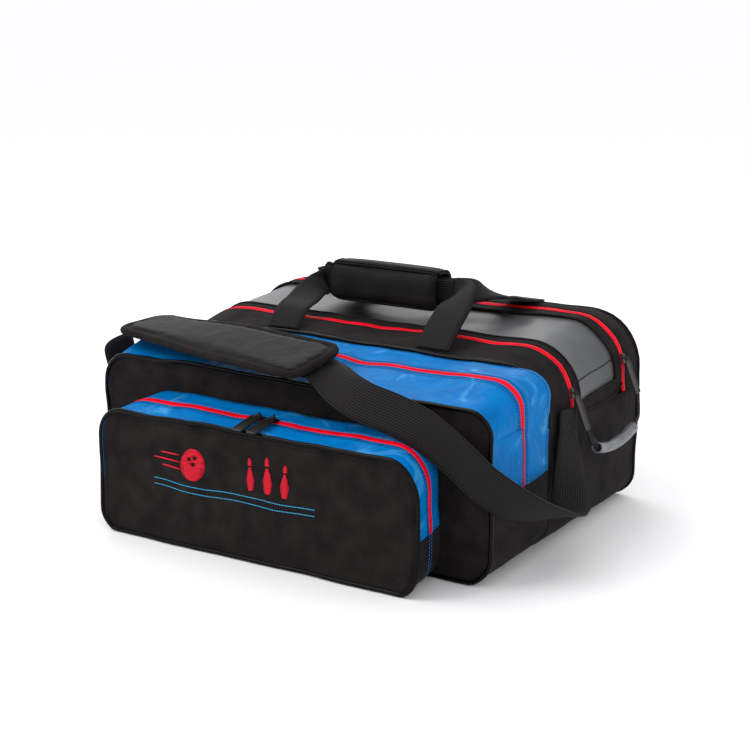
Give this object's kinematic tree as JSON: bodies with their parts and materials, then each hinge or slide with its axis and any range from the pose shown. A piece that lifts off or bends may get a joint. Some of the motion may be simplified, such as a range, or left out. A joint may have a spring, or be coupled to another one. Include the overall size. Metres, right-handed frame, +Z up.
{
  "type": "bowling ball bag",
  "caption": "Soft bowling bag with a foam-cradled ball compartment, a lid with a clear window, zipped shoe and accessory pockets, carry handles and a padded shoulder strap.",
  "frame": {"origin": "on the floor under the bag, midway along it and midway from its front face to its rear face, on the flat bottom of the ball compartment", "axes": "+Z up; +X along the bag, towards the lid's pull handle; -Y towards the accessory pocket"},
  "size_m": [0.6592, 0.4714, 0.2933],
  "materials": {
    "black_polyester": "woven, matt",
    "blue_tarpaulin": "coated, glossy",
    "red_zip": "coil zip tape, satin",
    "black_zip_hardware": "painted, satin",
    "clear_film": "clear film, glossy",
    "clear_hose": "clear hose, glossy",
    "piping_vinyl": "vinyl, glossy",
    "black_webbing": "ribbed webbing",
    "pad_cloth": "fine woven over foam",
    "foam": "closed-cell foam",
    "stiff_board": "stiff board"
  },
  "bodies": {
    "bag_body": {"main_front_panel": "black_polyester", "main_rear_panel": "black_polyester", "main_front_gusset": "black_polyester", "main_rear_gusset": "black_polyester", "main_right_end_panel": "black_polyester", "main_left_end_panel": "black_polyester", "main_bottom_panel": "black_polyester", "main_rear_piping": "piping_vinyl", "main_front_piping": "piping_vinyl", "base_board": "stiff_board", "ball_cradle": "foam", "lid_front_zip_bag_tape": "red_zip", "lid_rear_zip_bag_tape": "red_zip", "shoe_pocket_front_panel": "black_polyester", "shoe_pocket_rear_gusset": "blue_tarpaulin", "shoe_pocket_lower_band": "black_polyester", "shoe_left_side_strip": "blue_tarpaulin", "shoe_right_side_strip": "blue_tarpaulin", "shoe_zip_bag_tape": "red_zip", "shoe_pocket_piping": "piping_vinyl", "accessory_pocket_front_panel": "black_polyester", "accessory_pocket_lower_band": "black_polyester", "accessory_pocket_rear_gusset": "blue_tarpaulin", "accessory_zip_bag_tape": "red_zip", "accessory_pocket_piping": "piping_vinyl"},
    "lid": {"lid_border": "black_polyester", "lid_window": "clear_film", "lid_front_zip_lid_tape": "red_zip", "lid_rear_zip_lid_tape": "red_zip"},
    "lid_sliders": {"lid_front_slider": "black_zip_hardware", "lid_rear_slider": "black_zip_hardware"},
    "pull_handle": {"lid_front_pull": "black_zip_hardware", "lid_rear_pull": "black_zip_hardware", "pull_handle_tube": "clear_hose", "pull_handle_webbing": "black_webbing"},
    "front_handle": {"front_handle_webbing": "black_webbing"},
    "rear_handle": {"rear_handle_webbing": "black_webbing", "grip_wrap": "black_polyester"},
    "grip_flap_body": {"grip_flap": "black_polyester"},
    "shoe_flap": {"shoe_flap_panel": "black_polyester", "shoe_flap_gusset": "blue_tarpaulin", "shoe_zip_flap_tape": "red_zip", "shoe_flap_piping": "piping_vinyl"},
    "shoe_left_slider_body": {"shoe_left_slider": "black_zip_hardware"},
    "shoe_left_pull_body": {"shoe_left_pull": "black_zip_hardware"},
    "shoe_right_slider_body": {"shoe_right_slider": "black_zip_hardware"},
    "shoe_right_pull_body": {"shoe_right_pull": "black_zip_hardware"},
    "accessory_flap": {"accessory_flap_panel": "black_polyester", "accessory_flap_gusset": "blue_tarpaulin", "accessory_zip_flap_tape": "red_zip", "accessory_flap_piping": "piping_vinyl"},
    "accessory_left_slider_body": {"accessory_left_slider": "black_zip_hardware"},
    "accessory_left_pull_body": {"accessory_left_pull": "black_zip_hardware"},
    "accessory_right_slider_body": {"accessory_right_slider": "black_zip_hardware"},
    "accessory_right_pull_body": {"accessory_right_pull": "black_zip_hardware"},
    "shoulder_strap": {"shoulder_pad": "pad_cloth", "shoulder_webbing": "black_webbing"}
  },
  "joints": [
    {"name": "lid_open", "type": "hinge", "parent": "bag_body", "child": "lid", "pos_m": [-0.27, 0.1115, 0.15], "axis": [0, -1, 0], "range_deg": [0, 105], "deforming": ["front_handle_webbing", "rear_handle_webbing", "grip_wrap", "grip_flap"]},
    {"name": "front_handle_fold", "type": "hinge", "parent": "bag_body", "child": "front_handle", "pos_m": [0, -0.0135, 0.2215], "axis": [1, 0, 0], "range_deg": [0, 120]},
    {"name": "rear_handle_fold", "type": "hinge", "parent": "bag_body", "child": "rear_handle", "pos_m": [0, 0.214, 0.2435], "axis": [-1, 0, 0], "range_deg": [0, 120]},
    {"name": "grip_flap_open", "type": "hinge", "parent": "rear_handle", "child": "grip_flap_body", "pos_m": [0, 0.08645, 0.24509], "axis": [1, 0, 0], "range_deg": [0, 90]},
    {"name": "lid_slider_travel", "type": "hinge", "parent": "lid", "child": "lid_sliders", "pos_m": [0.205, 0.1115, 0.16966], "axis": [0, -0.9963, -0.0861], "range_deg": [0, 70]},
    {"name": "pull_handle_swing", "type": "hinge", "parent": "lid_sliders", "child": "pull_handle", "pos_m": [0.27398, 0.1115, 0.18559], "axis": [0, -0.9963, -0.0861], "range_deg": [0, 75]},
    {"name": "shoe_flap_open", "type": "hinge", "parent": "bag_body", "child": "shoe_flap", "pos_m": [0, -0.157, 0.1685], "axis": [1, 0, 0], "range_deg": [0, 45]},
    {"name": "strap_swing", "type": "hinge", "parent": "bag_body", "child": "shoulder_strap", "pos_m": [0.2748, 0.02, 0.165], "axis": [-1, 0, 0], "range_deg": [0, 60]},
    {"name": "shoe_left_slide", "type": "slide", "parent": "shoe_flap", "child": "shoe_left_slider_body", "axis": [-1, 0, 0], "range_m": [0, 0.12]},
    {"name": "shoe_right_slide", "type": "slide", "parent": "shoe_flap", "child": "shoe_right_slider_body", "axis": [1, 0, 0], "range_m": [0, 0.2]},
    {"name": "shoe_left_pull_lift", "type": "hinge", "parent": "shoe_left_slider_body", "child": "shoe_left_pull_body", "pos_m": [0.002, -0.08846, 0.22528], "axis": [-1, 0, 0], "range_deg": [0, 10]},
    {"name": "shoe_right_pull_lift", "type": "hinge", "parent": "shoe_right_slider_body", "child": "shoe_right_pull_body", "pos_m": [0.0185, -0.08846, 0.22528], "axis": [-1, 0, 0], "range_deg": [0, 10]},
    {"name": "accessory_flap_open", "type": "hinge", "parent": "bag_body", "child": "accessory_flap", "pos_m": [0, -0.228, 0.065], "axis": [1, 0, 0], "range_deg": [0, 80]},
    {"name": "accessory_left_slide", "type": "slide", "parent": "accessory_flap", "child": "accessory_left_slider_body", "axis": [-1, 0, 0], "range_m": [0, 0.16]},
    {"name": "accessory_right_slide", "type": "slide", "parent": "accessory_flap", "child": "accessory_right_slider_body", "axis": [1, 0, 0], "range_m": [0, 0.15]},
    {"name": "accessory_left_pull_lift", "type": "hinge", "parent": "accessory_left_slider_body", "child": "accessory_left_pull_body", "pos_m": [-0.012, -0.19319, 0.16626], "axis": [-1, 0, 0], "range_deg": [0, 120]},
    {"name": "accessory_right_pull_lift", "type": "hinge", "parent": "accessory_right_slider_body", "child": "accessory_right_pull_body", "pos_m": [0.008, -0.19319, 0.16626], "axis": [-1, 0, 0], "range_deg": [0, 120]}
  ],
  "couplings": [
    {"joint": "front_handle_fold", "follows": "lid_open", "ratio": 1.1428},
    {"joint": "rear_handle_fold", "follows": "lid_open", "ratio": 1.1428},
    {"joint": "grip_flap_open", "follows": "lid_open", "ratio": 0.85713},
    {"joint": "strap_swing", "follows": "shoe_flap_open", "ratio": 1.3333}
  ]
}
